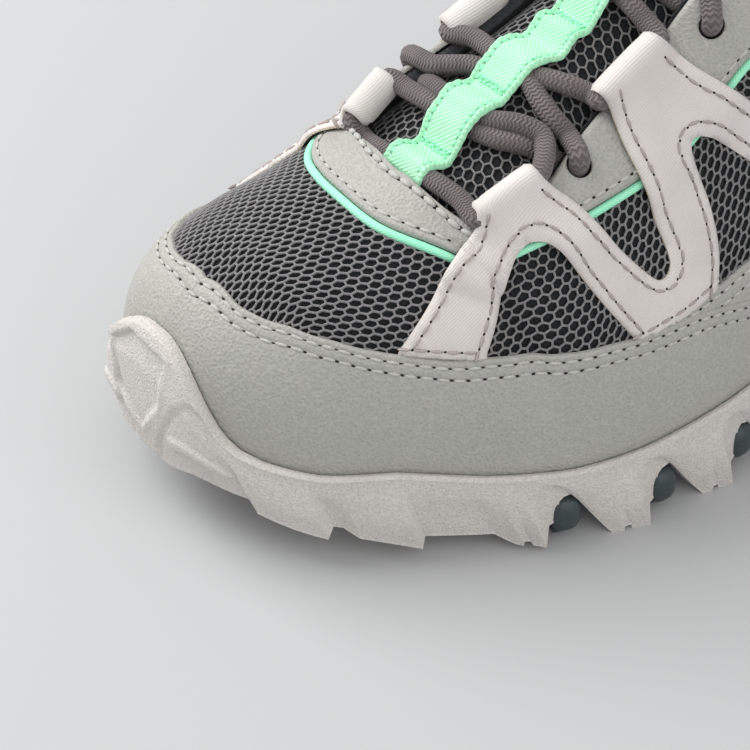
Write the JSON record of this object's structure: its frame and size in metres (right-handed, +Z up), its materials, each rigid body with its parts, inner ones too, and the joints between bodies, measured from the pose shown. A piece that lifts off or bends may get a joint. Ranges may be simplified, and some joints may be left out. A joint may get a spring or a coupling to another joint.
{
  "type": "outdoor shoe",
  "caption": "Left low-cut outdoor walking shoe with a hollow net upper, leather toe guard, zigzag straps with lace loops, tongue, insole and a lugged two-part sole.",
  "frame": {"origin": "on the floor under the centre of the bounding box", "axes": "+X from the toe to the heel, +Y to the inner side of the foot, +Z up"},
  "size_m": [0.259, 0.1086, 0.121],
  "materials": {
    "net_textile": "open net over dark cloth",
    "pale_rubber": "matte, fine sand texture",
    "dark_rubber": "matte",
    "insole_cloth": "matte knit",
    "grey_leather": "fine grain, satin",
    "mint_tape": "woven",
    "ribbed_strap": "ribbed, coated",
    "taupe_cord": "braided"
  },
  "bodies": {
    "root": {"upper": "net_textile", "midsole": "pale_rubber", "outsole": "dark_rubber", "insole": "insole_cloth", "tongue": "net_textile", "mudguard": "grey_leather", "foxing": "grey_leather", "eyestay": "grey_leather", "piping": "mint_tape", "strap_lateral": "ribbed_strap", "strap_medial": "ribbed_strap", "webbing": "mint_tape", "lace_row_1": "taupe_cord", "lace_row_2": "taupe_cord", "lace_row_3": "taupe_cord", "lace_row_4": "taupe_cord"}
  },
  "joints": []
}
